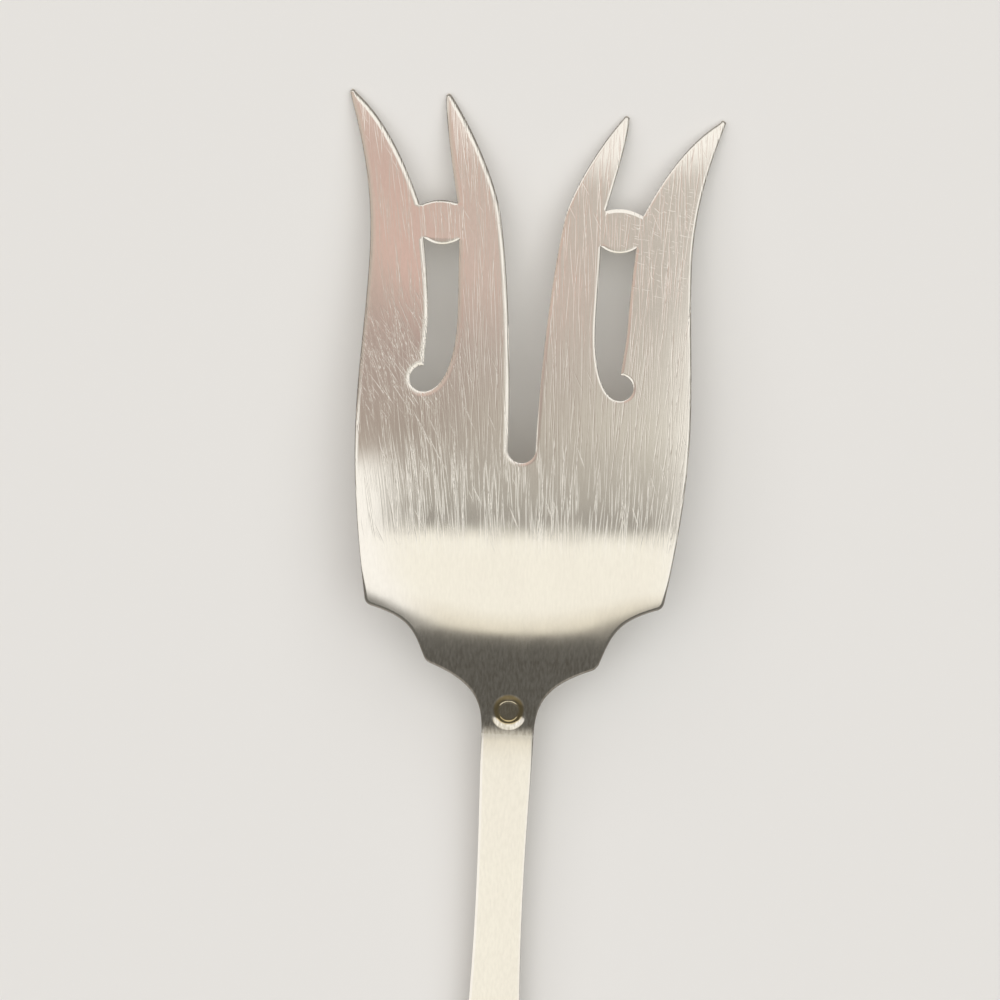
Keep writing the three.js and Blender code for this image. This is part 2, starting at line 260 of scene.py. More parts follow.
def half_head(side):
    """Edge of one half of the head, drawn on the right, from the tongue's end to the end of the centre
    slot, and which of its steps are landings for the tie. side is 1 on the right and -1 on the left."""
    tip = TIP_AT - RIGHT_PAIR_WEAR * (side > 0)
    to_slots = -side * SLOTS_TO_LEFT
    outer_landing = [shifted(point, to_slots) for point in (OUTER_LANDING_UPPER, OUTER_LANDING_LOWER)]
    inner_landing = [shifted(point, to_slots) for point in (INNER_LANDING_LOWER, INNER_LANDING_UPPER)]
    outer_line = even(np.array(outer_landing))
    inner_line = even(np.array(inner_landing))
    slot_narrow = shifted(SLOT_NARROW_INNER, to_slots)
    hook = shifted(HOOK, -side * HOOKS_TO_LEFT)

    # The side of the tongue follows the shank, and stops short of the step up to the neck.
    shank_edge = curve(SHANK, NECK, (0, 0.45), (0, 0.2))
    tongue_y = np.append(np.arange(-SCARF_LENGTH, -0.8 * EDGE_STEP, EDGE_STEP), -STEP_SHARPNESS)
    tongue = np.column_stack([np.interp(tongue_y, shank_edge[:, 1], shank_edge[:, 0]), tongue_y])

    outer_side = (OUTER_TIP_X + TIP_HALF, tip - TIP_HALF)
    outer_inside = (OUTER_TIP_X - TIP_HALF, tip - TIP_HALF)
    inner_side = (INNER_TIP_X + TIP_HALF, tip - TIP_HALF)
    inner_inside = (INNER_TIP_X - TIP_HALF, tip - TIP_HALF)
    slot_side = (SLOT_HALF, SLOT_END_AT + SLOT_HALF)
    lower_cove, lower_end = cove(
        NECK, LOWER_SHOULDER, (0, 0.45), (0.85, 0.25), LOWER_SHOULDER_ONWARD_TURN,
    )
    upper_cove, upper_end = cove(
        lower_end, shifted(UPPER_SHOULDER, y=side * UPPER_SHOULDER_SKEW), (0.2, 0.55), (0.7, 0.22),
        UPPER_SHOULDER_ONWARD_TURN,
    )
    parts = [
        tongue,
        lower_cove,
        upper_cove,
        curve(upper_end, BROADEST, (0.48, 0.3), (0, 0.37)),
        curve(BROADEST, WAIST, (0, 0.37), (0, 0.37)),
        curve(WAIST, outer_side, (0, 0.4), (0.55, 0.31)),
        bow(outer_side, (OUTER_TIP_X, tip + TIP_HALF), outer_inside),
        curve(outer_inside, outer_landing[0], (0.47, 0.25), (0.2, 0.32)),
        outer_line,
        curve(outer_landing[1], SLOT_NARROW_OUTER, (0.5, 0.35), (0.1, 0.3)),
        curve(SLOT_NARROW_OUTER, shifted(hook, y=HOOK_RADIUS), (0.1, 0.3), (0.3, 0.35)),
        arc(hook, HOOK_RADIUS, 90, -90),
        curve(shifted(hook, y=-HOOK_RADIUS), slot_narrow, (0.66, 0), (0, 0.56)),
        curve(slot_narrow, inner_landing[0], (0, 0.4), (0, 0.3)),
        inner_line,
        curve(inner_landing[1], inner_side, (0.35, 0.3), (0.1, 0.3)),
        bow(inner_side, (INNER_TIP_X, tip + TIP_HALF), inner_inside),
        curve(inner_inside, FLARE, (0.44, 0.3), (0.13, 0.27)),
        curve(FLARE, slot_side, (0.62, 0.27), (0, 0.3)),
        arc((0, slot_side[1]), SLOT_HALF, 0, -90),
    ]
    landings = [np.full(len(part), part is outer_line or part is inner_line) for part in parts]
    return np.concatenate(parts), np.concatenate(landings)


def way_in(points, starts, ends):
    """Shortest way to each point from the nearest of the straight steps, as a vector."""
    step_x, step_y = (ends - starts).T
    squares = step_x ** 2 + step_y ** 2
    ways = []
    for some in np.array_split(points, len(points) // POINTS_AT_ONCE + 1):
        away_x = some[:, :1] - starts[:, 0]
        away_y = some[:, 1:] - starts[:, 1]
        share = np.clip((away_x * step_x + away_y * step_y) / squares, 0, 1)
        away_x -= share * step_x
        away_y -= share * step_y
        nearest = (away_x ** 2 + away_y ** 2).argmin(1)[:, None]
        ways.append(np.hstack([np.take_along_axis(away, nearest, 1) for away in (away_x, away_y)]))
    return np.concatenate(ways)


def distance_to(points, starts, ends):
    """Length of the shortest way from each point to any of the straight steps."""
    return np.hypot(*way_in(points, starts, ends).T)


def inward(outline):
    """Unit vectors into the outline at its points, square to the line between the two neighbours."""
    along = np.roll(outline, -1, 0) - np.roll(outline, 1, 0)
    return np.column_stack([-along[:, 1], along[:, 0]]) / np.hypot(*along.T)[:, None]


def filled(outline, joined, inner):
    """Net of well-shaped triangles over a plan outline, whose steps it keeps. Its points are those of the
    outline, rings inside the free steps, a staggered grid inside the rings, and the inner points. Gives
    the points, the place of each in that list, and the corners of the triangles, anticlockwise."""
    starts, ends = outline, np.roll(outline, -1, 0)
    free = ~joined
    rings = (outline + RING_OFFSETS[:, None, None] * inward(outline))[:, free & np.roll(free, 1)]
    reach = np.repeat(RING_OFFSETS, rings.shape[1])
    rings = rings.reshape(-1, 2)
    rings = rings[distance_to(rings, starts[free], ends[free]) > RING_CLEAR * reach]
    sides = zip(outline.min(0), outline.max(0))
    grid = np.stack(np.meshgrid(*[np.arange(low, high, GRID_STEP) for low, high in sides]), -1)
    grid[1::2, :, 0] += GRID_STEP / 2
    grid = grid.reshape(-1, 2)
    grid = grid[distance_to(grid, starts, ends) > RING_OFFSETS[-1] + GRID_CLEAR * GRID_STEP]
    grid = grid[distance_to(grid, inner, inner + TINY) > INNER_CLEAR * GRID_STEP]
    points = np.concatenate([outline, rings, grid, inner])
    numbers = np.arange(len(outline))
    loop = np.column_stack([numbers, np.roll(numbers, -1)])
    inside_only = 1
    made = delaunay_2d_cdt([Vector(p) for p in points], loop.tolist(), [], inside_only, MERGED)
    used, corners = np.unique(np.array(made[2]), return_inverse=True)
    corners = corners.reshape(-1, 3)
    plan = np.array([tuple(v) for v in made[0]])[used]
    a, b, c = plan[corners].transpose(1, 0, 2)
    turned = (b - a)[:, 0] * (c - a)[:, 1] - (b - a)[:, 1] * (c - a)[:, 0] < 0
    corners[turned] = corners[turned][:, ::-1]
    return plan, used, corners


def arris(plan, used, outline, joined, eased):
    """Lean and fall of the eased edge at the plan points, and the way out over it. By the distance to the
    nearest free step, the sine of the lean grows evenly to its full value at the rim, as on an arc. The
    arris stops where a free edge runs into a joined one. eased gives its width."""
    starts, ends = outline, np.roll(outline, -1, 0)
    free = ~joined
    way = way_in(plan, starts[free], ends[free])
    reach = np.hypot(*way.T)
    outward = -way / np.maximum(reach, NIL)[:, None]
    width = eased(*plan.T)
    last, first = free & ~np.roll(free, -1), free & ~np.roll(free, 1)
    stops = np.concatenate([ends[last], starts[first]])
    onward = np.concatenate([(ends - starts)[last], (starts - ends)[first]])
    for stop, ahead in zip(stops, onward):
        away = plan - stop
        past_stop = (away @ ahead > TINY) & (np.hypot(*away.T) < reach + NIL)
        reach[past_stop] = width[past_stop]
    lean = np.arcsin(np.maximum(0, 1 - reach / width) * math.sin(ARRIS_LEAN))
    fall = width / math.sin(ARRIS_LEAN) * (1 - np.cos(lean))
    on_rim = reach < ON_RIM
    outward[on_rim] = -inward(outline)[used[on_rim]]
    return lean, fall, np.column_stack([outward, np.zeros(len(plan))])


def facing(height, x, y):
    """Unit normals of a height field, upwards, from its slopes over a small nudge each way."""
    slope_x = (height(x + NUDGE, y) - height(x - NUDGE, y)) / (2 * NUDGE)
    slope_y = (height(x, y + NUDGE) - height(x, y - NUDGE)) / (2 * NUDGE)
    normal = np.column_stack([-slope_x, -slope_y, np.ones(len(x))])
    return normal / np.linalg.norm(normal, axis=1)[:, None]


def plate(
    name, outline, joined, inner, top, bottom, eased=arris_width,
    top_square_below=-math.inf, bottom_square_above=math.inf,
):
    """Closed plate over a plan outline: top and bottom are height fields that take the fall of the arris,
    with upright walls between them. The normals are those of the true surface, leaning out over the arris.
    The joint faces stay square: joined walls, the top below one y, and the bottom above another."""
    plan, used, corners = filled(outline, joined, inner)
    lean, fall, outward = arris(plan, used, outline, joined, eased)
    x, y = plan.T
    upper = top(x, y, fall)
    lower = bottom(x, y, fall)
    upright, sideways = np.cos(lean)[:, None], outward * np.sin(lean)[:, None]
    upper_normal = facing(lambda u, v: top(u, v, 0), x, y) * upright + sideways
    lower_normal = -facing(lambda u, v: bottom(u, v, 0), x, y) * upright + sideways

    # Edges of one triangle alone make the rim. Each carries a wall, whose edges 1 and 3 are the rims.
    count = len(plan)
    edges = np.concatenate([corners[:, [0, 1]], corners[:, [1, 2]], corners[:, [2, 0]]])
    keys = edges[:, 0] * count + edges[:, 1]
    rim = edges[~np.isin(keys, edges[:, 1] * count + edges[:, 0])]
    walls = np.column_stack([rim[:, 0], rim[:, 0] + count, rim[:, 1] + count, rim[:, 1]])
    joined_ends = np.roll(outline, -1, 0)[joined]
    wall_square = distance_to(plan[rim].mean(1), outline[joined], joined_ends) < ON_WALL
    top_square = y[corners].max(1) < top_square_below
    bottom_square = y[corners].min(1) > bottom_square_above
    square = np.concatenate([top_square, bottom_square, wall_square])

    vertices = np.column_stack([np.tile(plan, (2, 1)), np.append(upper, lower)]) * MM
    vertices[:, 1] += neck_joint
    faces = corners.tolist() + (corners[:, ::-1] + count).tolist() + walls.tolist()
    mesh = bpy.data.meshes.new(name)
    mesh.from_pydata(vertices.tolist(), [], faces)
    mesh.polygons.foreach_set("use_smooth", ~square)
    edge_of_corner = np.empty(len(mesh.loops), np.int32)
    mesh.loops.foreach_get("edge_index", edge_of_corner)
    square_corner = np.repeat(square, [len(f) for f in faces])
    sharp = np.zeros(len(mesh.edges), bool)
    sharp[edge_of_corner[square_corner]] = True
    wall_edges = edge_of_corner[-walls.size:].reshape(-1, 4)
    sharp[wall_edges[:, [1, 3]]] = True
    mesh.edges.foreach_set("use_edge_sharp", sharp)

    # A corner of a square face is given no normal here, and so takes that of its face.
    face_normals = [upper_normal[corners], lower_normal[corners[:, ::-1]], outward[walls % count]]
    corner_normals = np.concatenate([normals.reshape(-1, 3) for normals in face_normals])
    corner_normals /= np.maximum(NIL, np.linalg.norm(corner_normals, axis=1))[:, None]
    corner_normals[square_corner] = 0
    mesh.normals_split_custom_set(corner_normals.tolist())
    mesh.update()
    piece = bpy.data.objects.new(name, mesh)
    bpy.context.collection.objects.link(piece)
    return piece


def rounded_back(x, y, fall):
    """The back less the fall of the arris."""
    return back(x, y) - fall


def rounded_face(x, y, fall):
    """The face, raised by the fall of the arris."""
    return face(x, y) + fall


def head_top(x, y, fall):
    """The rounded back with the roundel sunk in it, and the scarf where the tongue lies under the stem."""
    rounded = rounded_back(x, y, fall) - roundel(x, y)
    return np.where(y < -STEP_SHARPNESS / 2, np.minimum(scarf(y), rounded), rounded)


# The landings are joined to the ties, and the last step, across the end of the tongue, to the stem.
right_edge, right_landings = half_head(1)
left_edge, left_landings = half_head(-1)
head_outline = np.concatenate([right_edge, [(0, SLOT_END_AT)], left_edge[::-1] * (-1, 1)])
head_joined = np.concatenate([right_landings, left_landings[::-1], [True]])

# More points lie on circles over the roundel, from near its middle to past its rim, and along the joint.
out, turn = np.meshgrid(ROUNDEL_CIRCLES, ROUNDEL_TURNS)
roundel_points = np.stack([out * np.cos(turn), ROUNDEL_AT + out * np.sin(turn)], -1).reshape(-1, 2)
across_joint = np.linspace(-JOINT_HALF, JOINT_HALF, JOINT_POINTS)
joint_points = [
    np.column_stack([across_joint, np.full(len(across_joint), y)]) for y in (0, -STEP_SHARPNESS)
]
head_points = np.concatenate([roundel_points, *joint_points])

fork_head = plate(
    "fork_head_silver", head_outline, head_joined, head_points, head_top, rounded_face,
    top_square_below=TINY,
)


def add(tree, kind, inputs=None, stops=(), **settings):
    """One node of that kind, with its settings, its colour stops in rising order, and its inputs set to
    values or linked to outputs."""
    node = tree.nodes.new(kind)
    if stops:
        ramp = node.color_ramp.elements
        while len(ramp) < len(stops):
            ramp.new(1.0)
        for element, (at, colour) in zip(ramp, stops):
            element.position = at
            element.color = colour
    for name, value in settings.items():
        setattr(node, name, value)
    for name, value in (inputs or {}).items():
        if isinstance(value, bpy.types.NodeSocket):
            tree.links.new(value, node.inputs[name])
        else:
            node.inputs[name].default_value = value
    return node


def paint(code):
    """Linear colour of an sRGB hex value."""
    shares = np.array([int(code[i:i + 2], 16) for i in (1, 3, 5)]) / 255
    linear = np.where(shares <= 0.04045, shares / 12.92, ((shares + 0.055) / 1.055) ** 2.4)
    return (*linear.tolist(), 1.0)


def sterling(name, roughness, hairline_depth, scratch_depth, fan, neck_bloom):
    """Hand-polished sterling silver: a bright warm metal whose gloss is broken by fine hairlines from years
    of cleaning along the fork, a few longer scratches at a slant, and a soft cloudy haze. Depths are in
    millimetres, fan is how fast the marks spread for each metre along, and neck_bloom is the most tarnish
    on the back of the neck."""
    material = bpy.data.materials.new(name)
    material.use_nodes = True
    tree = material.node_tree
    tree.nodes.clear()
    coordinates = add(tree, "ShaderNodeTexCoord")
    place = coordinates.outputs["Object"]
    apart = add(tree, "ShaderNodeSeparateXYZ", {"Vector": place})
    across = apart.outputs["X"]
    along = apart.outputs["Y"]

    # Strong tarnish lies on the back alone: its share is 0 on the face and on upright walls.
    facing_way = add(tree, "ShaderNodeSeparateXYZ", {"Vector": coordinates.outputs["Normal"]})
    on_top = add(tree, "ShaderNodeMapRange", {
        "Value": facing_way.outputs["Z"], "From Min": 0.0, "From Max": 0.3,
    })

    # The hairlines are deepest above the crest, where the head is rubbed most. They are faint on the neck,
    # and shallower on the prongs and on the left flank.
    crest_y = CREST_AT * MM + neck_joint
    above_crest = add(tree, "ShaderNodeMapRange", {
        "Value": along, "From Min": crest_y - 4 * MM, "From Max": crest_y + 1 * MM,
        "To Min": 0.04, "To Max": 1.0,
    }, interpolation_type="SMOOTHSTEP")
    rubbed = add(tree, "ShaderNodeMapRange", {
        "Value": along, "From Min": crest_y + 8 * MM, "From Max": crest_y + 15 * MM,
        "To Min": 1.0, "To Max": 0.72,
    })
    flank_share = add(tree, "ShaderNodeMapRange", {
        "Value": along, "From Min": crest_y + 10 * MM, "From Max": crest_y + 14 * MM,
        "To Min": 0.25, "To Max": 0.9,
    }, interpolation_type="SMOOTHSTEP")
    flank = add(tree, "ShaderNodeMapRange", {
        "Value": across, "From Min": -20.5 * MM, "From Max": -16.5 * MM,
        "To Min": flank_share.outputs[0], "To Max": 1.0,
    }, interpolation_type="SMOOTHSTEP")
    on_back = add(tree, "ShaderNodeMath", {
        0: above_crest.outputs[0], 1: rubbed.outputs[0],
    }, operation="MULTIPLY")
    depth_share = add(tree, "ShaderNodeMath", {
        0: on_back.outputs[0], 1: flank.outputs[0],
    }, operation="MULTIPLY")

    # The marks spread towards the prongs, as the head does: across is divided by a share that grows along.
    spread = add(tree, "ShaderNodeMath", {
        0: along, 1: fan, 2: 1 - fan * crest_y,
    }, operation="MULTIPLY_ADD")
    fanned_x = add(tree, "ShaderNodeMath", {0: across, 1: spread.outputs[0]}, operation="DIVIDE")
    fanned = add(tree, "ShaderNodeCombineXYZ", {
        "X": fanned_x.outputs[0], "Y": along, "Z": apart.outputs["Z"],
    })

    # Two places are knocked: slanting scratches lie on the left outer prong beside the hook, and short
    # nicks on the right outer prong beside the tie. They fade out between 5 and 11 mm away.
    struck = []
    for x, y, z in ((-16.5, 50, 11), (19.2, 66, 8)):
        away = add(tree, "ShaderNodeVectorMath", {
            0: place, 1: (x * MM, y * MM + neck_joint, z * MM),
        }, operation="DISTANCE")
        struck.append(add(tree, "ShaderNodeMapRange", {
            "Value": away.outputs["Value"], "From Min": 5 * MM, "From Max": 11 * MM,
            "To Min": 1.0, "To Max": 0.0,
        }, interpolation_type="SMOOTHSTEP"))
    scratched, nicked = struck

    # Each kind of mark: its width and length in millimetres, its slant in degrees, how broken it is, the
    # noise levels between which it cuts in, its depth and where it lies. Real hairlines are finer, and
    # these are as coarse as they need to show.
    marks = [
        (0.2, 10, 2.8, 2, 0.0, 1.0, hairline_depth, depth_share),
        (0.14, 10, 2.8, 0, 0.63, 0.75, scratch_depth, depth_share),
        (0.16, 8, 6, 0, 0.66, 0.78, scratch_depth, depth_share),
        (0.16, 8, -1, 0, 0.67, 0.79, scratch_depth, depth_share),
        (0.18, 5, 24, 0, 0.78, 0.88, scratch_depth, depth_share),
        (0.16, 7, 19, 0, 0.64, 0.78, scratch_depth, scratched),
        (0.15, 4, 13, 0, 0.6, 0.76, scratch_depth, scratched),
        (0.15, 3, 31, 0, 0.63, 0.78, scratch_depth, scratched),
        (0.2, 1.3, 80, 0, 0.71, 0.81, scratch_depth, nicked),
        (0.2, 1.1, 55, 0, 0.74, 0.84, scratch_depth, nicked),
    ]
    normal = None
    for width, length, slant, broken, low, high, deep, where in marks:
        laid = add(tree, "ShaderNodeMapping", {
            "Vector": fanned.outputs[0], "Rotation": (0, 0, math.radians(slant)),
            "Scale": (width * MM, length * MM, length * MM),
        }, vector_type="TEXTURE")
        noise = add(tree, "ShaderNodeTexNoise", {
            "Vector": laid.outputs["Vector"], "Scale": 1.0, "Detail": broken,
        })
        cut = add(tree, "ShaderNodeMapRange", {
            "Value": noise.outputs["Fac"], "From Min": low, "From Max": high,
        })
        inputs = {"Height": cut.outputs[0], "Strength": where.outputs[0], "Distance": deep * MM}
        if normal:
            inputs["Normal"] = normal
        normal = add(tree, "ShaderNodeBump", inputs, invert=True).outputs["Normal"]

    # Haze in clouds about 5 mm wide, drawn out along the fork, dulls the gloss and greys the colour.
    haze_place = add(tree, "ShaderNodeMapping", {
        "Vector": place, "Scale": (5 * MM, 12 * MM, 12 * MM),
    }, vector_type="TEXTURE")
    haze = add(tree, "ShaderNodeTexNoise", {
        "Vector": haze_place.outputs["Vector"], "Scale": 1.0, "Detail": 4.0,
    })
    hazed = add(tree, "ShaderNodeMapRange", {
        "Value": haze.outputs["Fac"], "From Min": 0.3, "From Max": 0.7,
        "To Min": roughness - 0.02, "To Max": roughness + 0.04,
    })
    hazed_tint = add(tree, "ShaderNodeMix", {
        0: haze.outputs["Fac"], 6: paint("#F0EBE0"), 7: paint("#EAE4DA"),
    }, data_type="RGBA")

    # The wheel did not reach into the angle where the neck rises from the shank, and for 1.5 mm on either
    # side the finish is duller.
    from_joint = add(tree, "ShaderNodeMath", {0: along, 1: neck_joint + 0.3 * MM}, operation="SUBTRACT")
    to_joint = add(tree, "ShaderNodeMath", {0: from_joint.outputs[0]}, operation="ABSOLUTE")
    dull = add(tree, "ShaderNodeMapRange", {
        "Value": to_joint.outputs[0], "From Min": 0.0, "From Max": 1.5 * MM, "To Min": 0.12, "To Max": 0.0,
    }, interpolation_type="SMOOTHSTEP")
    gloss = add(tree, "ShaderNodeMath", {0: hazed.outputs[0], 1: dull.outputs[0]}, operation="ADD")

    # A bloom of tarnish in streaks about 0.3 mm wide, faint except on the back of the neck.
    bloom_place = add(tree, "ShaderNodeMapping", {
        "Vector": place, "Scale": (0.3 * MM, 1 * MM, 1 * MM),
    }, vector_type="TEXTURE")
    bloom = add(tree, "ShaderNodeTexNoise", {
        "Vector": bloom_place.outputs["Vector"], "Scale": 1.0, "Detail": 3.0,
    })
    faint_bloom = 0.1
    on_neck = add(tree, "ShaderNodeMapRange", {
        "Value": on_top.outputs[0], "To Min": faint_bloom, "To Max": neck_bloom,
    })
    most_bloom = add(tree, "ShaderNodeMapRange", {
        "Value": along, "From Min": neck_joint + 10 * MM, "From Max": neck_joint + 14 * MM,
        "To Min": on_neck.outputs[0], "To Max": faint_bloom,
    })
    bloomed = add(tree, "ShaderNodeMapRange", {
        "Value": bloom.outputs["Fac"], "From Min": 0.35, "From Max": 0.7,
        "To Min": 0.0, "To Max": most_bloom.outputs[0],
    })
    bloomed_tint = add(tree, "ShaderNodeMix", {
        0: bloomed.outputs[0], 6: hazed_tint.outputs[2], 7: paint("#C8C0B2"),
    }, data_type="RGBA")

    # Old polish and tarnish in the round recess, golden at its wall and thinning out past the rim. It lies
    # 0.3 mm off the middle, and is measured in plan, in millimetres.
    from_roundel = add(tree, "ShaderNodeMapping", {
        "Vector": place, "Location": (0, (ROUNDEL_AT + 0.3) * MM + neck_joint, 0), "Scale": (MM, MM, 1000),
    }, vector_type="TEXTURE")
    away = add(tree, "ShaderNodeVectorMath", {0: from_roundel.outputs["Vector"]}, operation="LENGTH")
    at_wall = add(tree, "ShaderNodeMapRange", {
        "Value": away.outputs["Value"], "From Min": 1.1, "From Max": 1.6, "To Min": 0.35, "To Max": 0.9,
    }, interpolation_type="SMOOTHSTEP")
    inside_rim = add(tree, "ShaderNodeMapRange", {
        "Value": away.outputs["Value"], "From Min": 1.8, "From Max": 2.2,
        "To Min": on_top.outputs[0], "To Max": 0.0,
    }, interpolation_type="SMOOTHSTEP")
    golden = add(tree, "ShaderNodeMath", {
        0: at_wall.outputs[0], 1: inside_rim.outputs[0],
    }, operation="MULTIPLY")
    tint = add(tree, "ShaderNodeMix", {
        0: golden.outputs[0], 6: bloomed_tint.outputs[2], 7: paint("#C2AE7E"),
    }, data_type="RGBA")

    # The floor of the recess is uneven, with dents about 1 mm across that catch the light.
    dents = add(tree, "ShaderNodeTexNoise", {
        "Vector": from_roundel.outputs["Vector"], "Scale": 1.0, "Detail": 0.0,
    })
    normal = add(tree, "ShaderNodeBump", {
        "Height": dents.outputs["Fac"], "Strength": inside_rim.outputs[0], "Distance": 0.05 * MM,
        "Normal": normal,
    }).outputs["Normal"]
    shader = add(tree, "ShaderNodeBsdfPrincipled", {
        "Base Color": tint.outputs[2], "Metallic": 1.0, "Roughness": gloss.outputs[0], "Normal": normal,
    })
    add(tree, "ShaderNodeOutputMaterial", {"Surface": shader.outputs["BSDF"]})
    return material


head_silver = sterling("hand_polished_sterling_head", 0.09, 0.009, 0.01, fan=6, neck_bloom=0.9)
fork_head.data.materials.append(head_silver)
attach(fork_head, "root")
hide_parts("fork_head")


# Ties: a short bar of the same plate across each pair of prongs, arched above and below, let in between
# the prongs and hard-soldered on its two flat ends. The lower edge of both and the upper edge of the right
# one are filed off in a slant.
TIE_UPPER_BULGE = 0.6
TIE_LOWER_BULGE = 0.85
TIE_ARRIS = 0.45
UPPER_FILED_WIDTH = 0.5
UPPER_FILED_SLOPE = 0.2
LOWER_FILED_SLOPE = 0.11
FILED_LINE_POINTS = 16


def past_line(x, y, ends):
    """How far past the line between two points a point lies along the fork, below 0 before it."""
    (first_x, first_y), (last_x, last_y) = ends
    return y - first_y - (x - first_x) * (last_y - first_y) / (last_x - first_x)


def tie_top(x, y, fall, side, corners):
    """The rounded back, filed off in a flat slant below the line between the lower corners and, on the
    right tie, in a slant of even width along the arched upper edge, which rises by four times its bulge
    times t (1 - t). The corners are those of the tie as drawn on the right."""
    below = np.maximum(0, -past_line(side * x, y, corners[:2]))
    share = (side * x - corners[2, 0]) / (corners[3, 0] - corners[2, 0])
    arch = 4 * TIE_UPPER_BULGE * share * (1 - share)
    above = np.maximum(0, past_line(side * x, y, corners[2:]) - arch + UPPER_FILED_WIDTH) * (side > 0)
    return rounded_back(x, y, fall) - LOWER_FILED_SLOPE * below - UPPER_FILED_SLOPE * above


for side, node in ((-1, "left_tie"), (1, "right_tie")):
    landings = INNER_LANDING_LOWER, OUTER_LANDING_LOWER, OUTER_LANDING_UPPER, INNER_LANDING_UPPER
    tie_corners = np.array(landings) - (side * SLOTS_TO_LEFT, 0)
    lower_pull = tie_corners[:2].mean(0) - (0, 2 * TIE_LOWER_BULGE)
    upper_pull = tie_corners[2:].mean(0) + (0, 2 * TIE_UPPER_BULGE)
    lower_edge = bow(tie_corners[0], lower_pull, tie_corners[1])
    upper_edge = bow(tie_corners[2], upper_pull, tie_corners[3])
    parts = [lower_edge, even(tie_corners[1:3]), upper_edge, even(tie_corners[[3, 0]])]
    tie_outline = np.concatenate(parts)

    # The flat ends are joined, and the upper edge of the right tie is left square under its slant.
    square_parts = [False, True, side > 0, True]
    tie_joined = np.repeat(square_parts, [len(part) for part in parts])

    # Points lie close to either side of the lines where the slants begin, to keep them crisp.
    filed_lines = [
        np.linspace(tie_corners[0], tie_corners[1], FILED_LINE_POINTS)[1:-1],
        upper_edge[2:-1] - (0, UPPER_FILED_WIDTH),
    ]
    nudges = (-2 * NUDGE, 2 * NUDGE)
    tie_points = np.concatenate([line + (0, nudge) for line in filed_lines for nudge in nudges])

    # The left tie is the mirror image, whose outline has to run the other way.
    if side < 0:
        tie_outline = tie_outline[::-1] * (-1, 1)
        tie_points = tie_points * (-1, 1)
        tie_joined = np.roll(tie_joined[::-1], -1)

    tie = plate(
        node + "_silver", tie_outline, tie_joined, tie_points,
        lambda x, y, fall: tie_top(x, y, fall, side, tie_corners), rounded_face,
        eased=lambda x, y: np.full(len(x), TIE_ARRIS),
    )
    tie.data.materials.append(head_silver)
    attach(tie, "root")
    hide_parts(node)


# Stem: a forged and filed bar of sterling silver, narrowest behind the neck and widening to a flat arched
# handle. Its front end is filed to a slant and soldered down on the tongue of the head.
HANDLE_SIDE = (9.4, 15.0 - STEM_LENGTH)

stem_right = np.concatenate([
    curve((0, -STEM_LENGTH), HANDLE_SIDE, (0.6, 0), (0, 0.5)),
    curve(HANDLE_SIDE, SHANK, (0, 0.3), (0, 0.42)),
    curve(SHANK, NECK, (0, 0.45), (0, 0.2)),
])

# The front edge has the points of the head along the joint, so that the two surfaces meet.
ring_x = NECK[0] - np.append(0, RING_OFFSETS)
front_x = np.concatenate([ring_x, across_joint[::-1], -ring_x[:0:-1]])
stem_front = np.column_stack([front_x, np.zeros(len(front_x))])
stem_left = np.concatenate([[(-NECK[0], NECK[1])], stem_right[:0:-1] * (-1, 1)])
stem_outline = np.concatenate([stem_right, stem_front, stem_left])
stem_joined = np.repeat([False, True, False], [len(stem_right), len(stem_front), len(stem_left)])
heel_points = np.concatenate([
    np.column_stack([across_joint, np.full(len(across_joint), y)])
    for y in (-SCARF_LENGTH, -SCARF_LENGTH + STEP_SHARPNESS)
])


def stem_bottom(x, y, fall):
    """The rounded face, and the scarf where the stem lies on the tongue."""
    rounded = rounded_face(x, y, fall)
    return np.where(y > -SCARF_LENGTH + STEP_SHARPNESS / 2, np.maximum(scarf(y), rounded), rounded)


stem = plate(
    "stem_silver", stem_outline, stem_joined, heel_points, rounded_back, stem_bottom,
    bottom_square_above=-SCARF_LENGTH - TINY,
)
stem_silver = sterling("hand_polished_sterling_stem", 0.1, 0.006, 0.008, fan=0, neck_bloom=0.15)
stem.data.materials.append(stem_silver)
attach(stem, "root")
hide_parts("stem")


# Floor and light: a pale matt table under a light tent. A bright panel hangs behind the handle, the walls
# are grey and rose, and a skylight overhead lights the table evenly and is left out of reflections. The
# table's top is set a hair below the fork, so that no edge sinks into it.
FLOOR_HALF = 20.0
FLOOR_CLEAR = 0.00002

floor_mesh = bpy.data.meshes.new("floor")
floor_corners = FLOOR_HALF * np.array([(-1, -1, 0), (1, -1, 0), (1, 1, 0), (-1, 1, 0)])
floor_mesh.from_pydata((floor_corners - (0, 0, FLOOR_CLEAR)).tolist(), [], [(0, 1, 2, 3)])
floor = bpy.data.objects.new("floor", floor_mesh)
bpy.context.collection.objects.link(floor)
table_paint = bpy.data.materials.new("matt_table_paint")
table_paint.use_nodes = True
tree = table_paint.node_tree
tree.nodes.clear()
table_shader = add(tree, "ShaderNodeBsdfPrincipled", {"Base Color": paint("#E3E2DF"), "Roughness": 0.8})
add(tree, "ShaderNodeOutputMaterial", {"Surface": table_shader.outputs["BSDF"]})
floor_mesh.materials.append(table_paint)

# The tent is turned a little about the upright. Its colours go by the angle along the fork, and its left,
# its right and its ends are told apart by the angle across.
TENT_TURN = 2.8
TENT_STRENGTH = 1.14
SKYLIGHT_STRENGTH = 1.22
SKYLIGHT_SPREAD = 60
WHITE = "#FFFFFF"
BLACK = "#000000"
GREY = "#8E8B88"
DARK_GREY = "#7E7B78"

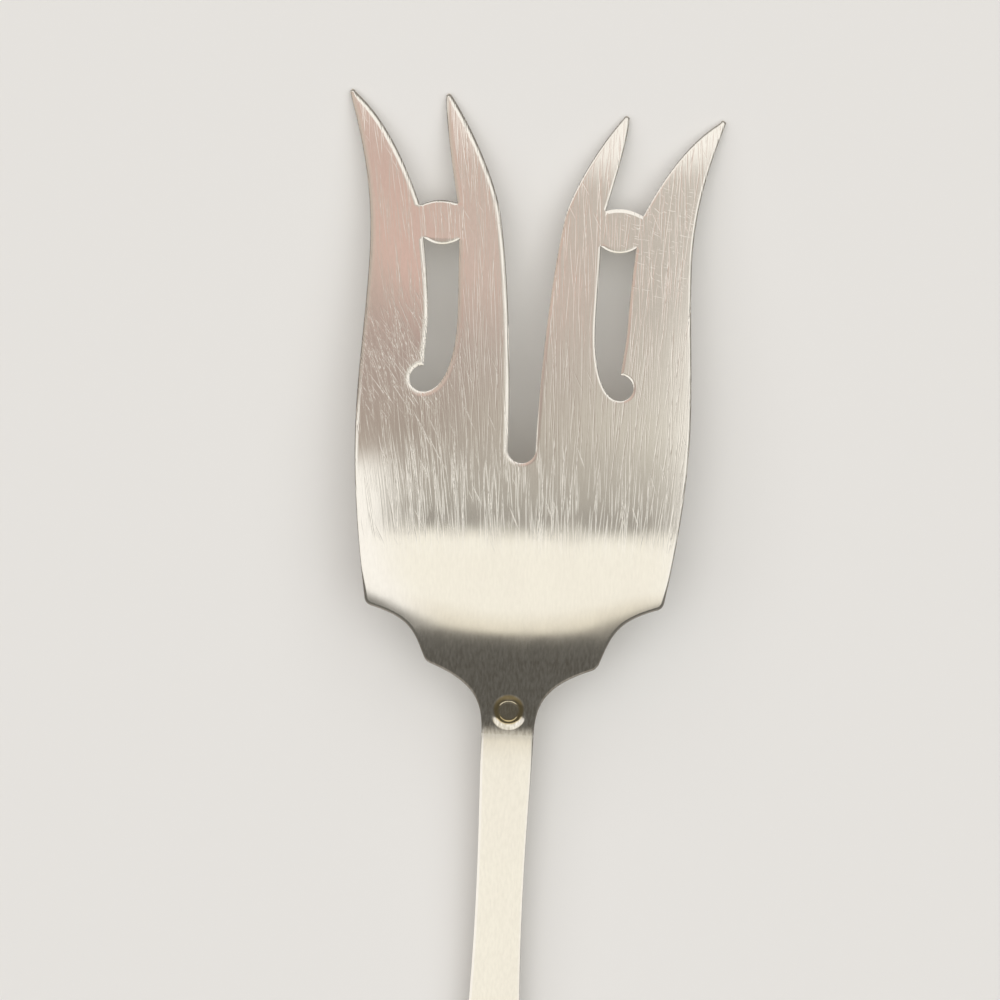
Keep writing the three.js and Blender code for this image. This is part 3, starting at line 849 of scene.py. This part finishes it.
tent = bpy.data.worlds.new("light_tent")
bpy.context.scene.world = tent
tent.use_nodes = True
tree = tent.node_tree
tree.nodes.clear()
looking = add(tree, "ShaderNodeMapping", {
    "Vector": add(tree, "ShaderNodeTexCoord").outputs["Generated"],
    "Rotation": (0, 0, math.radians(-TENT_TURN)),
})
ray = add(tree, "ShaderNodeSeparateXYZ", {"Vector": looking.outputs["Vector"]})


def tent_ramp(axis, stops):
    """Colour by the angle from straight up towards +X or +Y, in degrees."""
    turn = add(tree, "ShaderNodeMath", {
        0: ray.outputs[axis], 1: ray.outputs["Z"],
    }, operation="ARCTAN2")
    share = add(tree, "ShaderNodeMapRange", {
        "Value": turn.outputs[0], "From Min": -math.pi / 2, "From Max": math.pi / 2,
    })
    placed = [((angle + 90) / 180, paint(code)) for angle, code in stops]
    return add(tree, "ShaderNodeValToRGB", {"Fac": share.outputs[0]}, placed).outputs["Color"]


behind = [(-90, "#C8C6C2"), (-62, "#9A9792"), (-46, "#61605D"), (-31, "#61605D"), (-28.2, "#74726E")]
panel = behind + [
    (-26.7, "#E6E1D4"), (-21, "#F8F7F1"), (-0.2, "#F8F7F1"), (0.4, GREY), (4, "#B1AEA9"),
]
side_panel = behind + [(-26, WHITE)]
warm_wall = [
    (14, "#A89E98"), (22, "#AE9F9B"), (32, "#D5BAB4"), (42, "#D0B6B0"), (52, "#CAB1AB"),
    (57, WHITE), (63, WHITE), (68, GREY), (90, GREY),
]
pale_wall = [
    (14, "#D0CDC7"), (30, "#C3BEBA"), (46, "#C8C3BF"),
    (50, WHITE), (63, WHITE), (68, GREY), (90, GREY),
]
near_wall = [
    (7.5, WHITE), (11, "#ACA29B"), (22, "#AEA09C"), (34, "#CFBDB6"), (52, "#CFBDB6"),
    (62, WHITE), (90, WHITE),
]
far_wall = [
    (18, WHITE), (25, "#BBB3AD"), (38, "#BBB3AD"), (48, "#CBC0B9"), (53, "#CBC0B9"),
    (61, WHITE), (90, WHITE),
]

left_half = tent_ramp("Y", panel + warm_wall)
right_half = tent_ramp("Y", panel + pale_wall)
near_left = tent_ramp("Y", side_panel + near_wall)
far_left = tent_ramp("Y", side_panel + far_wall)
right_side = tent_ramp("Y", side_panel + [(90, WHITE)])
to_right = tent_ramp("X", [(-90, BLACK), (-3, BLACK), (6, WHITE), (90, WHITE)])
to_far_left = tent_ramp("X", [(-90, WHITE), (-42, WHITE), (-28, BLACK), (90, BLACK)])
to_sides = tent_ramp("X", [
    (-90, WHITE), (-12, WHITE), (-6.5, BLACK), (11, BLACK), (25, WHITE), (90, WHITE),
])
to_ends = tent_ramp("X", [
    (-90, WHITE), (-62, WHITE), (-53, BLACK), (38, BLACK), (54, WHITE), (90, WHITE),
])

middle = add(tree, "ShaderNodeMix", {0: to_right, 6: left_half, 7: right_half}, data_type="RGBA")
left_side = add(tree, "ShaderNodeMix", {0: to_far_left, 6: near_left, 7: far_left}, data_type="RGBA")
sides = add(tree, "ShaderNodeMix", {
    0: to_right, 6: left_side.outputs[2], 7: right_side,
}, data_type="RGBA")
ends = add(tree, "ShaderNodeMix", {
    0: to_ends, 6: sides.outputs[2], 7: paint(DARK_GREY),
}, data_type="RGBA")
inside = add(tree, "ShaderNodeMix", {
    0: to_sides, 6: middle.outputs[2], 7: ends.outputs[2],
}, data_type="RGBA")

# A grey skirt hangs round the foot of the tent, paler where it meets the table.
skirt_stops = [(0.02, paint("#DCDAD6")), (0.12, paint(DARK_GREY))]
skirt = add(tree, "ShaderNodeValToRGB", {"Fac": ray.outputs["Z"]}, skirt_stops)
to_skirt = add(tree, "ShaderNodeMapRange", {
    "Value": ray.outputs["Z"], "From Min": 0.2, "From Max": 0.4, "To Min": 1.0, "To Max": 0.0,
}, interpolation_type="SMOOTHSTEP")
walls = add(tree, "ShaderNodeMix", {
    0: to_skirt.outputs[0], 6: inside.outputs[2], 7: skirt.outputs["Color"],
}, data_type="RGBA")
glow = add(tree, "ShaderNodeBackground", {"Color": walls.outputs[2], "Strength": TENT_STRENGTH})
add(tree, "ShaderNodeOutputWorld", {"Surface": glow.outputs[0]})

skylight = bpy.data.objects.new("overhead_skylight", bpy.data.lights.new("overhead_skylight", "SUN"))
bpy.context.collection.objects.link(skylight)
skylight.data.angle = math.radians(SKYLIGHT_SPREAD)
skylight.data.energy = SKYLIGHT_STRENGTH
skylight.visible_glossy = False
bpy.context.scene.view_settings.view_transform = "Standard"


# Camera: straight above the head and turned a little about the upright; no picture size is set for it.
# Its place is in millimetres, along the fork from the neck joint.
CAMERA_PLACE = (-2.54, 31.32, 344.9)
CAMERA_TURN = 2.825
CAMERA_LENS = 90.48

camera = bpy.data.objects.new("camera", bpy.data.cameras.new("camera"))
bpy.context.collection.objects.link(camera)
camera.location = np.array(CAMERA_PLACE) * MM + (0, neck_joint, 0)
camera.rotation_euler = (0, 0, math.radians(CAMERA_TURN))
camera.data.lens = CAMERA_LENS
camera.data.sensor_width = 36
camera.data.clip_start = 0.01
bpy.context.scene.camera = camera
